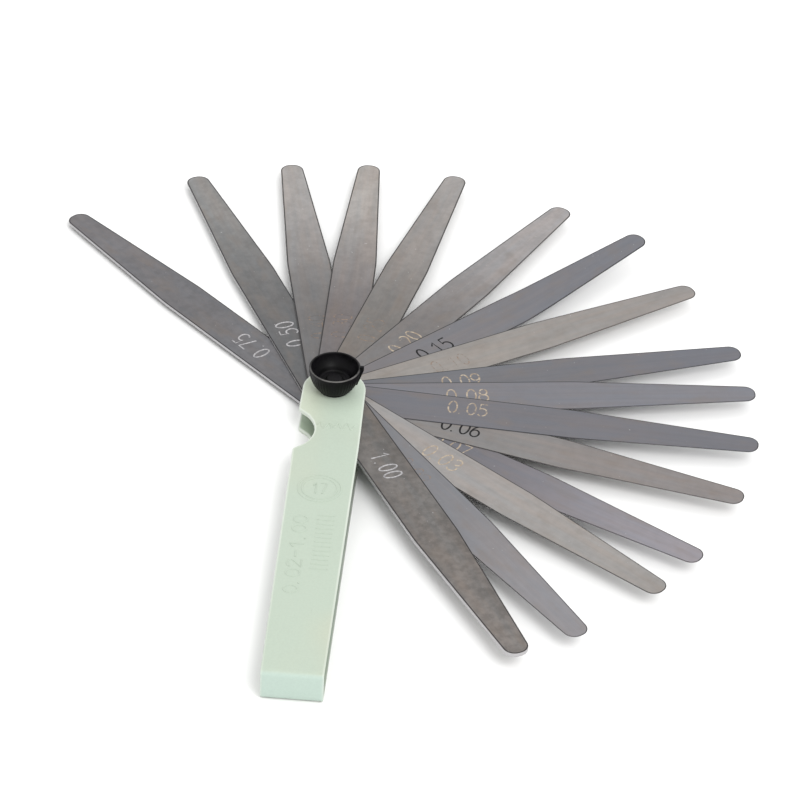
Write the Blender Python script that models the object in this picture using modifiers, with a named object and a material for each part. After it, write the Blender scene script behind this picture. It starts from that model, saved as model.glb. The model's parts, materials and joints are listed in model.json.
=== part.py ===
"""Feeler gauge: a fan of measuring leaves pivoted in a folded sheet-steel sheath.

Frame: metres, +Z up.  The origin is on the pivot axis, on the plane that the
gauge lies on.  The sheath runs along -Y to its closed end, and the leaves
are stored fanned out, each turned about the pivot by its own angle.
"""

import math

import bmesh
import bpy
from mathutils import Matrix

MM = 0.001

# ---- driving dimensions -------------------------------------------------
SHEET = 1.0 * MM                 # steel strip of the sheath
SLIP = 0.02 * MM                 # air between neighbouring leaves
RUN = 0.07 * MM                  # running clearance of a round fit
SEAT = 0.03 * MM                 # air between clamped faces

REACH = 95.0 * MM                # pivot to the tip of a leaf
LEAF_WIDTH = 10.2 * MM           # parallel part of a leaf
LEAF_TAPER_FROM = 54.0 * MM      # pivot to where the taper starts
TIP_WIDTH = 5.2 * MM             # leaf width where the tip corners start
TIP_RADIUS = 2.5 * MM            # tip corner radius
TAPER_BLEND = 40.0 * MM          # soft bend between parallel part and taper

# Leaves from the lowest to the highest: thickness in mm, rest angle in
# degrees about the pivot, counter-clockwise from +X.
LEAVES = [
    (0.75, 135.7),
    (0.50, 115.7),
    (0.40, 101.3),
    (0.30, 89.8),
    (0.25, 76.7),
    (0.20, 59.4),
    (0.15, 45.2),
    (0.10, 33.1),
    (0.09, 17.4),
    (0.08, 7.9),
    (0.07, -29.6),
    (0.06, -15.5),
    (0.05, -3.8),
    (0.04, -38.2),
    (0.03, -38.2),
    (0.02, -52.3),
    (1.00, -61.2),
]

SHEATH_LENGTH = 97.6 * MM        # pivot axis to the outside of the closed end
HEAD_RADIUS = 7.0 * MM           # round end of the sheath, about the pivot
WIDEST_HALF = 7.2 * MM           # half width of the sheath at its widest
WIDEST_AT = 20.0 * MM            # pivot to the widest place
END_HALF = 6.45 * MM             # half width at the closed end
BEND_RADIUS = 1.2 * MM           # outside radius of the two end bends
FLAT_LENGTH = 12.0 * MM          # upper cheek is level this far from the pivot
END_RISE = 1.1 * MM              # extra height of the sheath at its closed end

NOTCH_RADIUS = 8.3 * MM          # finger notch in both cheeks
NOTCH_X = -11.3 * MM
NOTCH_Y = -15.4 * MM
NOTCH_LIP = 1.2 * MM             # rounding of the notch's two corners

SHANK_RADIUS = 1.95 * MM         # pivot screw
HEAD_TOP_RADIUS = 2.75 * MM      # countersunk head where it meets the shank
HEAD_FACE_RADIUS = 3.55 * MM     # countersunk head at the underside
HEAD_DEPTH = 0.8 * MM
SHANK_CHAMFER = 0.35 * MM

WASHER_RADIUS = 3.5 * MM         # split spring washer under the nut
WASHER_THICKNESS = 0.8 * MM
WASHER_SPLIT = 0.6 * MM

NUT_HEIGHT = 5.2 * MM            # cup-shaped thumb nut
NUT_FOOT_RADIUS = 4.15 * MM
NUT_WAIST_RADIUS = 4.45 * MM
NUT_WAIST_HEIGHT = 0.5 * MM
NUT_RIM_RADIUS = 5.75 * MM
NUT_WALL = 0.55 * MM
NUT_WEB = 1.4 * MM               # floor of the cup
NUT_BELLY = 0.3 * MM             # how far the flared side bows outwards
LUG_WIDTH = 0.7 * MM             # finger lug on the nut's side
LUG_REACH = 6.45 * MM
LUG_FOOT = 5.1 * MM                # reach of its lower end
LUG_ABOVE_RIM = 0.6 * MM
LUG_LENGTH = 5.0 * MM
SCREW_ABOVE_WEB = 0.9 * MM       # shank end above the cup's floor

ROUND_SIDES = 48                 # sides of a turned piece
HOLE_SIDES = 28                  # sides of a leaf's pivot hole

# ---- derived sizes ------------------------------------------------------
STACK_LOW = SHEET + SLIP
STACK_HEIGHT = sum(thickness for thickness, _ in LEAVES) * MM + SLIP * (len(LEAVES) - 1)
CHEEK_TOP = STACK_LOW + STACK_HEIGHT + SLIP + SHEET
WASHER_LOW = CHEEK_TOP + SEAT
NUT_LOW = WASHER_LOW + WASHER_THICKNESS + SEAT
NUT_TOP = NUT_LOW + NUT_HEIGHT
SHANK_TOP = NUT_LOW + NUT_WEB + SCREW_ABOVE_WEB
BORE_RADIUS = (SHANK_RADIUS + RUN) / math.cos(math.pi / ROUND_SIDES)
LEAF_HOLE_RADIUS = (SHANK_RADIUS + RUN) / math.cos(math.pi / HOLE_SIDES)

# ---- colours ------------------------------------------------------------
SAGE_PAINT = (0.56, 0.70, 0.55)
DARK_STEEL = (0.17, 0.165, 0.17)
PALE_STEEL = (0.40, 0.38, 0.36)
BLUE_STEEL = (0.22, 0.22, 0.25)
BLACK_FINISH = (0.012, 0.012, 0.014)

LEAF_TINTS = {
    0.75: DARK_STEEL,
    0.50: DARK_STEEL,
    1.00: DARK_STEEL,
    0.15: BLUE_STEEL,
    0.09: BLUE_STEEL,
    0.08: BLUE_STEEL,
    0.07: BLUE_STEEL,
    0.05: BLUE_STEEL,
    0.02: BLUE_STEEL,
}


# ---- scene and material helpers ------------------------------------------
def clear_scene():
    for obj in list(bpy.data.objects):
        bpy.data.objects.remove(obj, do_unlink=True)


def new_collection(name):
    collection = bpy.data.collections.new(name)
    bpy.context.scene.collection.children.link(collection)
    return collection


def material(name, colour, roughness, metallic):
    mat = bpy.data.materials.new(name)
    mat.use_nodes = True
    shader = mat.node_tree.nodes["Principled BSDF"]
    shader.inputs["Base Color"].default_value = (*colour, 1.0)
    shader.inputs["Roughness"].default_value = roughness
    shader.inputs["Metallic"].default_value = metallic
    return mat


def add_mesh_object(name, mesh, collection, mat=None):
    obj = bpy.data.objects.new(name, mesh)
    collection.objects.link(obj)
    if mat is not None:
        mesh.materials.append(mat)
    return obj


def shade(obj, angle=math.radians(30.0)):
    obj.data.shade_smooth()
    obj.data.set_sharp_from_angle(angle=angle)


# ---- outline helpers -----------------------------------------------------
def arc(centre, radius, start, end, steps):
    """Points on an arc in the plane, both ends included, angles in radians."""
    points = []
    for i in range(steps + 1):
        angle = start + (end - start) * i / steps
        x = centre[0] + radius * math.cos(angle)
        y = centre[1] + radius * math.sin(angle)
        points.append((x, y))
    return points


def fillet(before, corner, after, radius, steps):
    """Arc of the given radius that rounds one corner of a polygon."""
    ax, ay = before[0] - corner[0], before[1] - corner[1]
    bx, by = after[0] - corner[0], after[1] - corner[1]
    la, lb = math.hypot(ax, ay), math.hypot(bx, by)
    ax, ay, bx, by = ax / la, ay / la, bx / lb, by / lb
    half = math.acos(max(-1.0, min(1.0, ax * bx + ay * by))) / 2.0
    mx, my = ax + bx, ay + by
    lm = math.hypot(mx, my)
    reach = radius / math.sin(half)
    centre = (corner[0] + mx / lm * reach, corner[1] + my / lm * reach)
    run = radius / math.tan(half)
    start = math.atan2(corner[1] + ay * run - centre[1], corner[0] + ax * run - centre[0])
    end = math.atan2(corner[1] + by * run - centre[1], corner[0] + bx * run - centre[0])
    turn = (end - start + math.pi) % (2.0 * math.pi) - math.pi
    return arc(centre, radius, start, start + turn, steps)


def plate(name, outlines, thickness, collection, mat=None):
    """Flat plate centred on the local XY plane; later outlines are holes."""
    curve = bpy.data.curves.new(name, "CURVE")
    curve.dimensions = "2D"
    curve.fill_mode = "BOTH"
    curve.extrude = thickness / 2.0
    for outline in outlines:
        spline = curve.splines.new("POLY")
        spline.points.add(len(outline) - 1)
        for point, (x, y) in zip(spline.points, outline):
            point.co = (x, y, 0.0, 1.0)
        spline.use_cyclic_u = True
    drawn = bpy.data.objects.new(name + "_drawn", curve)
    bpy.context.scene.collection.objects.link(drawn)
    bpy.context.view_layer.update()
    evaluated = drawn.evaluated_get(bpy.context.evaluated_depsgraph_get())
    mesh = bpy.data.meshes.new_from_object(evaluated)
    mesh.name = name
    bpy.data.objects.remove(drawn, do_unlink=True)
    mesh.materials.clear()
    weld(mesh)
    return add_mesh_object(name, mesh, collection, mat)


def weld(mesh, distance=0.001 * MM):
    work = bmesh.new()
    work.from_mesh(mesh)
    bmesh.ops.remove_doubles(work, verts=work.verts, dist=distance)
    bmesh.ops.recalc_face_normals(work, faces=work.faces)
    work.to_mesh(mesh)
    work.free()


def turned(name, profile, collection, mat=None, steps=ROUND_SIDES):
    """Solid of revolution about Z; the profile runs from top to bottom outside."""
    mesh = bpy.data.meshes.new(name)
    edges = [(i, i + 1) for i in range(len(profile) - 1)]
    mesh.from_pydata([(radius, 0.0, z) for radius, z in profile], edges, [])
    obj = add_mesh_object(name, mesh, collection, mat)
    screw = obj.modifiers.new("turn", "SCREW")
    screw.axis = "Z"
    screw.angle = 2.0 * math.pi
    screw.steps = steps
    screw.render_steps = steps
    screw.use_merge_vertices = True
    screw.merge_threshold = 0.001 * MM
    screw.use_smooth_shade = True
    return obj


def cut(obj, cutter, operation="DIFFERENCE"):
    cutter.hide_render = True
    cutter.display_type = "WIRE"
    boolean = obj.modifiers.new(cutter.name, "BOOLEAN")
    boolean.operation = operation
    boolean.solver = "EXACT"
    boolean.object = cutter


# ---- sheath ---------------------------------------------------------------
def sheath_side_outline():
    """Outline in (Y, Z) of the strip folded round the closed end."""
    slope = math.atan2(END_RISE, SHEATH_LENGTH - FLAT_LENGTH)
    past_head = HEAD_RADIUS + 2.0 * MM
    inner_radius = BEND_RADIUS - SHEET
    bend_y = -SHEATH_LENGTH + BEND_RADIUS
    rise = (-FLAT_LENGTH - bend_y - BEND_RADIUS * math.sin(slope)) * math.tan(slope)
    upper_bend = (bend_y, CHEEK_TOP + rise - BEND_RADIUS * math.cos(slope))
    lower_bend = (bend_y, BEND_RADIUS)
    quarter = math.pi / 2.0
    steps = 6

    points = [(past_head, 0.0)]
    points += arc(lower_bend, BEND_RADIUS, -quarter, -2.0 * quarter, steps)
    points += arc(upper_bend, BEND_RADIUS, 2.0 * quarter, quarter - slope, steps)
    points += [(-FLAT_LENGTH, CHEEK_TOP), (past_head, CHEEK_TOP)]
    points += [(past_head, CHEEK_TOP - SHEET), (-FLAT_LENGTH, CHEEK_TOP - SHEET)]
    points += arc(upper_bend, inner_radius, quarter - slope, 2.0 * quarter, steps)
    points += arc(lower_bend, inner_radius, -2.0 * quarter, -quarter, steps)
    points += [(past_head, SHEET)]
    return points


def sheath_plan_outline():
    """Outline in (X, Y) of a cheek: round head, slightly swelling sides."""
    below_end = -SHEATH_LENGTH - 3.0 * MM
    sides = [(HEAD_RADIUS, 0.0), (WIDEST_HALF, -WIDEST_AT), (END_HALF, below_end)]
    right = [sides[0]] + fillet(*sides, 200.0 * MM, 4) + [sides[2]]
    left = [(-x, y) for x, y in reversed(right)]
    head = arc((0.0, 0.0), HEAD_RADIUS, math.pi, 0.0, 32)
    return head[:-1] + right + left[:-1]


def notch_outline():
    """Finger notch: an arc into the left edge, with eased corners."""
    edge_x = -WIDEST_HALF
    half_chord = math.sqrt(NOTCH_RADIUS ** 2 - (edge_x - NOTCH_X) ** 2)
    outside = edge_x - 4.0 * MM
    mouth_top = (edge_x, NOTCH_Y + half_chord)
    mouth_low = (edge_x, NOTCH_Y - half_chord)
    angle = math.atan2(half_chord, edge_x - NOTCH_X)
    hollow = arc((NOTCH_X, NOTCH_Y), NOTCH_RADIUS, -angle, angle, 20)
    low = fillet((edge_x, mouth_low[1] - half_chord), mouth_low, hollow[2], NOTCH_LIP, 4)
    top = fillet(hollow[-3], mouth_top, (edge_x, mouth_top[1] + half_chord), NOTCH_LIP, 4)
    return [(outside, low[0][1])] + low + hollow[3:-3] + top + [(outside, top[-1][1])]


def build_sheath(parts, cutters, paint):
    width = 4.0 * WIDEST_HALF
    outline = sheath_side_outline()
    sheath = plate("sheath", [outline], width, parts, paint)
    # local X, Y, Z of the drawn outline become world Y, Z, X
    sheath.data.transform(Matrix(((0, 0, 1, 0), (1, 0, 0, 0), (0, 1, 0, 0), (0, 0, 0, 1))))

    tall = 6.0 * CHEEK_TOP
    plan = plate("sheath_plan", [sheath_plan_outline()], tall, cutters)
    cut(sheath, plan, "INTERSECT")
    notch = plate("sheath_notch", [notch_outline()], tall, cutters)
    cut(sheath, notch)

    low = -1.0 * MM
    sink = HEAD_FACE_RADIUS - HEAD_TOP_RADIUS
    hole = [
        (0.0, CHEEK_TOP + 1.0 * MM),
        (BORE_RADIUS, CHEEK_TOP + 1.0 * MM),
        (BORE_RADIUS, HEAD_DEPTH + RUN),
        (HEAD_TOP_RADIUS + RUN, HEAD_DEPTH + RUN),
        (HEAD_FACE_RADIUS + RUN, RUN),
        (HEAD_FACE_RADIUS + RUN - low * sink / HEAD_DEPTH, low),
        (0.0, low),
    ]
    cut(sheath, turned("sheath_pivot_hole", hole, cutters))
    shade(sheath)
    return sheath


# ---- pivot hardware ---------------------------------------------------------
def build_screw(parts, steel):
    profile = [
        (0.0, SHANK_TOP),
        (SHANK_RADIUS - SHANK_CHAMFER, SHANK_TOP),
        (SHANK_RADIUS, SHANK_TOP - SHANK_CHAMFER),
        (SHANK_RADIUS, HEAD_DEPTH),
        (HEAD_TOP_RADIUS, HEAD_DEPTH),
        (HEAD_FACE_RADIUS, 0.0),
        (0.0, 0.0),
    ]
    return turned("pivot_screw", profile, parts, steel)


def build_washer(parts, cutters, steel):
    top = WASHER_LOW + WASHER_THICKNESS
    ease = 0.12 * MM
    profile = [
        (BORE_RADIUS, WASHER_LOW),
        (BORE_RADIUS, top),
        (WASHER_RADIUS - ease, top),
        (WASHER_RADIUS, top - ease),
        (WASHER_RADIUS, WASHER_LOW + ease),
        (WASHER_RADIUS - ease, WASHER_LOW),
        (BORE_RADIUS, WASHER_LOW),
    ]
    washer = turned("lock_washer", profile, parts, steel)
    half = WASHER_SPLIT / 2.0
    slit = [(0.0, -half), (2.0 * WASHER_RADIUS, -half), (2.0 * WASHER_RADIUS, half), (0.0, half)]
    slot = plate("washer_split", [slit], 4.0 * WASHER_THICKNESS, cutters)
    slot.location = (0.0, 0.0, WASHER_LOW)
    slot.rotation_euler = (0.0, 0.0, math.radians(60.0))
    cut(washer, slot)
    return washer


def nut_side(radius_low, radius_top, z_low, z_top, steps=6):
    """Flared side from top to bottom, bowed slightly outwards."""
    points = []
    for i in range(steps + 1):
        t = 1.0 - i / steps
        bow = NUT_BELLY * math.sin(math.pi * t)
        points.append((radius_low + (radius_top - radius_low) * t + bow, z_low + (z_top - z_low) * t))
    return points


def build_nut(parts, cutters, black):
    floor = NUT_LOW + NUT_WEB
    waist = NUT_LOW + NUT_WAIST_HEIGHT
    lip = NUT_WALL / 3.0
    outside = nut_side(NUT_WAIST_RADIUS, NUT_RIM_RADIUS, waist, NUT_TOP - lip)
    inside = nut_side(NUT_WAIST_RADIUS - NUT_WALL, NUT_RIM_RADIUS - NUT_WALL, floor, NUT_TOP - lip)
    profile = [(BORE_RADIUS, floor)]
    profile += [(radius, z) for radius, z in reversed(inside)]
    profile += [(NUT_RIM_RADIUS - NUT_WALL + lip, NUT_TOP), (NUT_RIM_RADIUS - lip, NUT_TOP)]
    profile += outside
    profile += [(NUT_WAIST_RADIUS - 0.15 * MM, NUT_LOW + 0.35 * MM), (NUT_FOOT_RADIUS, NUT_LOW)]
    profile += [(BORE_RADIUS, NUT_LOW), (BORE_RADIUS, floor)]
    nut = turned("thumb_nut", profile, parts, black)

    inner_x = NUT_RIM_RADIUS - 0.5 * NUT_WALL
    top = NUT_TOP + LUG_ABOVE_RIM
    low = top - LUG_LENGTH
    side = [(inner_x, NUT_TOP - lip), (inner_x + 0.1 * MM, top), (LUG_REACH, top)]
    side += [(LUG_REACH, top - 0.9 * MM), (LUG_FOOT, low), (NUT_FOOT_RADIUS + 0.15 * MM, low)]
    lug = plate("nut_lug", [side], LUG_WIDTH, cutters)
    # drawn in (X, Z): stand the plate up across Y
    lug.data.transform(Matrix.Rotation(math.radians(90.0), 4, "X"))
    cut(nut, lug, "UNION")
    return nut


# ---- leaves -------------------------------------------------------------------
def leaf_outline():
    """Leaf along local +X: round heel, parallel part, taper, eased square tip."""
    half = LEAF_WIDTH / 2.0
    quarter = math.pi / 2.0
    heel = arc((0.0, 0.0), half, quarter, 3.0 * quarter, 14)
    taper_start = (LEAF_TAPER_FROM, -half)
    tip_corner = (REACH, -TIP_WIDTH / 2.0)
    lower = fillet(heel[-1], taper_start, tip_corner, TAPER_BLEND, 3)
    lower += fillet(taper_start, tip_corner, (REACH, TIP_WIDTH / 2.0), TIP_RADIUS, 7)
    upper = [(x, -y) for x, y in reversed(lower)]
    return heel + lower + upper


def leaf_name(thickness):
    return "leaf_{:.2f}".format(thickness).replace(".", "_")


def build_leaves(parts):
    hole = arc((0.0, 0.0), LEAF_HOLE_RADIUS, 0.0, -2.0 * math.pi, HOLE_SIDES)[:-1]
    low = STACK_LOW
    for thickness_mm, angle in LEAVES:
        thickness = thickness_mm * MM
        name = leaf_name(thickness_mm)
        mat = material(name + "_steel", LEAF_TINTS.get(thickness_mm, PALE_STEEL), 0.38, 1.0)
        leaf = plate(name, [leaf_outline(), hole], thickness, parts, mat)
        leaf.location = (0.0, 0.0, low + thickness / 2.0)
        leaf.rotation_euler = (0.0, 0.0, math.radians(angle))
        low += thickness + SLIP


def main():
    clear_scene()
    parts = new_collection("feeler_gauge")
    cutters = new_collection("cutters")
    build_sheath(parts, cutters, material("sage_paint", SAGE_PAINT, 0.42, 0.0))
    build_screw(parts, material("black_screw_finish", BLACK_FINISH, 0.35, 0.5))
    build_washer(parts, cutters, material("black_washer_steel", BLACK_FINISH, 0.40, 0.6))
    build_nut(parts, cutters, material("black_nut_finish", BLACK_FINISH, 0.22, 0.3))
    build_leaves(parts)


main()
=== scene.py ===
"""Looks of the feeler gauge: seventeen steel leaves fanned out of a folded, painted sheath.

Every piece rides on its CAD body and stands for its CAD node.  Metres, +Z up, the pivot
axis on the Z axis, the sheath along -Y, the underside of the sheath at Z = 0.
"""

import json
import math

import bmesh
import bpy
from mathutils import Euler, Matrix, Vector


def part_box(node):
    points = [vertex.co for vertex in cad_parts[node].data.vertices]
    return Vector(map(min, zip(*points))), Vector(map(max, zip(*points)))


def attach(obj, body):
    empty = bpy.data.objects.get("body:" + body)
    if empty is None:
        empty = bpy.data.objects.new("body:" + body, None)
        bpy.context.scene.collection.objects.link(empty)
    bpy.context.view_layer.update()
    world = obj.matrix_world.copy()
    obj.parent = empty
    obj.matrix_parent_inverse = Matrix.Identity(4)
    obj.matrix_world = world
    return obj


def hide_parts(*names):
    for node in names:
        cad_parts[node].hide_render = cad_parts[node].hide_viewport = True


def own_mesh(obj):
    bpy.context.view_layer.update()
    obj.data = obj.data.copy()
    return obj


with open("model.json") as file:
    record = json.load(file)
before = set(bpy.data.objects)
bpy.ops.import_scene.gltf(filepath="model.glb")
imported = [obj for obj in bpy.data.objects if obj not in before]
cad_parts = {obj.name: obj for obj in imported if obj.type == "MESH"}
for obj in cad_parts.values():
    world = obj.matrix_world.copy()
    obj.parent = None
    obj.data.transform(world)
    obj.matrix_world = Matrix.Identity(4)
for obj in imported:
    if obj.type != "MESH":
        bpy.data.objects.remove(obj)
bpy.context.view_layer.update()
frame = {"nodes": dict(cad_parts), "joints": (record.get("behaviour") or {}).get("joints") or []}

MM = 0.001
QUARTER = math.pi / 2.0

# ---- sizes shared with the CAD ----
SHEET = 1.0 * MM                 # thickness of the sheath's strip
SLIP = 0.02 * MM                 # gap between neighbours in the stack
RUN = 0.07 * MM                  # clearance round the screw
LEAF_WIDTH = 10.2 * MM
LEAF_TAPER_FROM = 54.0 * MM
TIP_WIDTH = 5.2 * MM
TIP_RADIUS = 2.5 * MM
TAPER_BLEND = 40.0 * MM          # radius that eases the start of the taper
SHEATH_LENGTH = 97.6 * MM        # from the pivot to the closed end
HEAD_RADIUS = 7.0 * MM
WIDEST_HALF = 7.2 * MM           # half the sheath's width where it is widest
WIDEST_AT = 20.0 * MM
END_HALF = 6.48 * MM             # half its width at the closed end
SIDE_BLEND = 200.0 * MM
BEND_RADIUS = 1.2 * MM           # outside of the two bends at the closed end
FLAT_LENGTH = 12.0 * MM          # past this the upper cheek rises, by END_RISE in all
END_RISE = 1.1 * MM
NOTCH_RADIUS = 8.3 * MM
NOTCH_CENTRE = (-11.3 * MM, -15.4 * MM)
NOTCH_EDGE = -7.13 * MM
NOTCH_LIP = 1.2 * MM             # rounding of the notch's two corners
SHANK_RADIUS = 1.95 * MM
HEAD_TOP_RADIUS = 2.75 * MM      # the screw's countersunk head, from its top to its face
HEAD_FACE_RADIUS = 3.55 * MM
HEAD_DEPTH = 0.8 * MM
WASHER_SPLIT = 0.6 * MM
WASHER_SPLIT_ANGLE = math.radians(60.0)
NUT_FOOT_RADIUS = 4.15 * MM
NUT_WAIST_RADIUS = 4.45 * MM
NUT_WAIST_HEIGHT = 0.5 * MM
NUT_RIM_RADIUS = 5.75 * MM
NUT_HEIGHT = 5.2 * MM            # without the lug
NUT_WEB = 1.4 * MM
NUT_BELLY = 0.3 * MM             # how far its side bows out
LUG_WIDTH = 0.7 * MM
LUG_REACH = 6.45 * MM
LUG_FOOT = 5.1 * MM
LUG_LENGTH = 5.0 * MM

# ---- finish sizes ----
SHARP_ANGLE = math.radians(35.0)
LEVEL = 0.999                    # a face whose normal has more Z than this lies flat
SNAP = 0.002 * MM                # a vertex this near to a dividing plane is on it
WELD = 0.0001 * MM               # stroke vertices this close become one
HOLE_STEPS = 32
EDGE_BAND = 0.32 * MM            # flat band inside a rounded edge, where the edge value fades out
EDGE_STEPS = 3                   # rings up a quarter turn of a rounded edge
SHEATH_EDGE = 0.16 * MM          # rounding of the sheath's cut edges
BEND_SUPPORT = 0.4 * MM          # a bend has a line of vertices this far to either side
BEND_STEPS = 8
LEAF_EDGE_SHARE = 0.3            # rounding of a leaf's edge, as a share of its thickness
LEAF_EDGE_MOST = 0.09 * MM
LEAF_CREST = 0.5                 # edge value where a leaf's rounding meets its face; the painted dark edge line lies there
MARK_HEIGHT = 4.2 * MM
MARK_STROKE = {"stamped": 0.2 * MM, "faint": 0.17 * MM, "cream": 0.18 * MM, "black": 0.22 * MM}
MARK_PROUD = 0.006 * MM          # how far a printed mark stands above its leaf
GROOVE_DEPTH = 0.07 * MM         # depth of a stamped mark in a thick leaf
STAMPED_NARROW = 0.9             # stamped figures are narrower than printed ones
SPRUNG_LEAF = "leaf_0_15"        # this leaf has taken a set and rises towards its tip
SPRUNG_FROM = 50.0 * MM
SPRUNG_BLEND = 14.0 * MM
SPRUNG_SLOPE = 0.085
SPRUNG_CUTS = 15
SPRUNG_CUT_STEP = 3.0 * MM

# the nut's cup, fluted on its side, and its lug
LIP_WALL = 0.5 * MM              # thickness of the rounded lip
CUP_WALL = 0.75 * MM             # thickness of the wall at its foot
CUP_FLOOR_RISE = 0.7 * MM        # the wall's inside starts this far above the floor
CUP_CORNER = 0.6 * MM
CUP_CORNER_IN = 0.25 * MM
FOOT_EASE = 0.1 * MM
WAIST_IN, WAIST_RISE = 0.15 * MM, 0.3 * MM
BORE_EASE = 0.15 * MM
NUT_SIDE_STEPS = 14
# edge value over the lip, from outside to inside: worn metal and a painted highlight
RIM_WEAR_AND_HIGHLIGHT = (0.15, 0.5, 0.85, 1.0, 1.0, 0.95, 0.8, 0.5, 0.25, 0.1, 0.0)
FLUTES = 48                      # fine upright grooves round the side
FLUTE_DEPTH = 0.05 * MM
FLUTE_SKIN = 0.3 * MM            # only what lies outside this depth is fluted
FLUTE_FOOT, FLUTE_TOP = 0.7 * MM, 0.8 * MM
FLUTE_FADE = 0.5 * MM
LUG_SHOULDER = 0.45 * MM         # it leaves the rim this far below the top
LUG_KNEE = 0.9 * MM
LUG_ROOT = 0.15 * MM             # its inner corner lies this far outside the foot
LUG_LEAN, LUG_TUCK = 0.1 * MM, 0.02 * MM
LUG_KNEE_ROUND, LUG_NOSE_ROUND, LUG_TOP_ROUND = 0.8 * MM, 0.22 * MM, 0.25 * MM
LUG_EDGE, LUG_BAND = 0.1 * MM, 0.06 * MM

# (inwards from the shank, down from its end, wear) of the screw's upper end, in mm
SHANK_END = ((0.45, 0.0, 0.0), (0.30, 0.04, 0.5), (0.0, 0.35, 0.5), (0.0, 0.5, 0.0))
SCREW_STEPS = 64
HEAD_EASE = 0.12 * MM
HEAD_EDGE_IN = 0.02 * MM
WASHER_EASE = 0.1 * MM
WASHER_STEPS = 64
WASHER_WEAR = 0.25

# plain marks raised on the upper cheek, from the head to the closed end
RELIEF_PROUD = 0.13 * MM
RELIEF_STROKE = 0.2 * MM
WAVE_Y, WAVE_HEIGHT = -13.6 * MM, 1.1 * MM
WAVE_FROM, WAVE_STEP, WAVE_TURN, WAVE_POINTS = -2.6 * MM, 0.26 * MM, 0.8, 33
RING_Y = -36.2 * MM
RINGS = ((4.7 * MM, 4.6 * MM), (3.8 * MM, 3.7 * MM))
RING_STEPS = 44
COUNT_LENGTH, COUNT_HEIGHT = 3.0 * MM, 3.6 * MM
RANGE_TEXT = "0.02-1.00"
RANGE_LENGTH, RANGE_HEIGHT = 26.0 * MM, 3.0 * MM
RANGE_X, RANGE_Y = -3.0 * MM, -72.0 * MM
BARS, BAR_Y, BAR_STEP = 13, -45.5 * MM, 1.5 * MM
BAR_LEFT, BAR_RIGHT = 0.5 * MM, 4.1 * MM

# ---- what the CAD says ----
LEAF_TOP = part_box("leaf_1_00")[1].z
CHEEK_TOP = LEAF_TOP + SLIP + SHEET
REACH = max(math.hypot(v.co.x, v.co.y) for v in frame["nodes"]["leaf_1_00"].data.vertices)
CLOSED_ANGLE = -90.0             # degrees; where a leaf lies when it is folded away
BORE_RADIUS = SHANK_RADIUS + RUN

# ---- looks ----
LIGHT_LEVEL = 1.5                # how bright a white surface facing up is, 1 being display white


def tone(red, green, blue):
    """Linear colour that shows as these display values, out of 255, under the stage's light."""
    return tuple((value / 255.0) ** 2.2 / LIGHT_LEVEL for value in (red, green, blue))


# cloudiness: how much a leaf's brightness varies; from DARK up its cut edges also get a painted
# highlight
BLOTCHY, DARK, CLOUDED, SATIN, BLUED = 2.0, 1.2, 0.95, 0.6, 0.4

# heel colour, tip colour, cloudiness, mark style, then where the mark starts along the
# leaf, how long it is and how far it sits to the left of the middle line, in mm
LEAF_LOOKS = {
    "leaf_0_75": (tone(122, 121, 124), tone(126, 124, 127), DARK, "stamped", 23.9, 9.4, 0.2),
    "leaf_0_50": (tone(110, 110, 111), tone(152, 150, 148), DARK, "stamped", 22.8, 9.6, 0.3),
    "leaf_0_40": (tone(121, 119, 119), tone(185, 180, 177), CLOUDED, "faint", 24.0, 8.8, 0.3),
    "leaf_0_30": (tone(125, 119, 119), tone(190, 184, 179), CLOUDED, "faint", 24.0, 8.8, 0.8),
    "leaf_0_25": (tone(134, 129, 125), tone(175, 170, 167), CLOUDED, "faint", 23.6, 8.8, 0.2),
    "leaf_0_20": (tone(132, 128, 127), tone(182, 178, 178), CLOUDED, "cream", 22.8, 8.8, -0.5),
    "leaf_0_15": (tone(133, 131, 135), tone(130, 131, 138), BLUED, "black", 25.6, 8.9, 0.0),
    "leaf_0_10": (tone(166, 161, 156), tone(166, 160, 156), SATIN, "faint", 25.4, 8.8, 0.0),
    "leaf_0_09": (tone(124, 124, 129), tone(125, 125, 132), BLUED, "cream", 25.2, 8.7, 0.9),
    "leaf_0_08": (tone(135, 134, 140), tone(140, 140, 147), BLUED, "cream", 25.3, 9.3, 0.3),
    "leaf_0_07": (tone(124, 122, 128), tone(165, 160, 166), BLUED, "cream", 26.2, 8.8, 1.0),
    "leaf_0_06": (tone(148, 144, 142), tone(155, 148, 146), SATIN, "black", 25.6, 8.8, 0.3),
    "leaf_0_05": (tone(126, 125, 131), tone(126, 125, 131), BLUED, "cream", 25.6, 8.8, 1.2),
    "leaf_0_04": (tone(150, 147, 145), tone(155, 151, 148), SATIN, "cream", 26.4, 8.8, 0.4),
    "leaf_0_03": (tone(174, 169, 166), tone(173, 168, 164), SATIN, "cream", 27.3, 9.6, 0.6),
    "leaf_0_02": (tone(140, 140, 144), tone(157, 154, 157), BLUED, "faint", 27.0, 8.8, 0.3),
    "leaf_1_00": (tone(121, 117, 114), tone(131, 125, 121), BLOTCHY, "stamped", 23.8, 9.0, 0.0),
}
HEEL_TO, TIP_FROM = 0.3, 0.95    # shares of the reach between which heel turns to tip colour
# bright steel of stamped marks; also the colour of painted glints and painted edge highlights
BRIGHT_METAL_AND_HIGHLIGHT = tone(214, 212, 214)
# dark line painted along each leaf's rounded edge: painted shade and dark reflection
PAINTED_EDGE_SHADE = tone(30, 29, 31)
STAIN = tone(138, 124, 112)
STEEL_SHARE = 0.92               # the rest of a leaf's brightness is the room mirrored in it
COOL_CAST, WARM_CAST = (0.96, 0.995, 1.02), (1.035, 1.0, 0.975)

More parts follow.
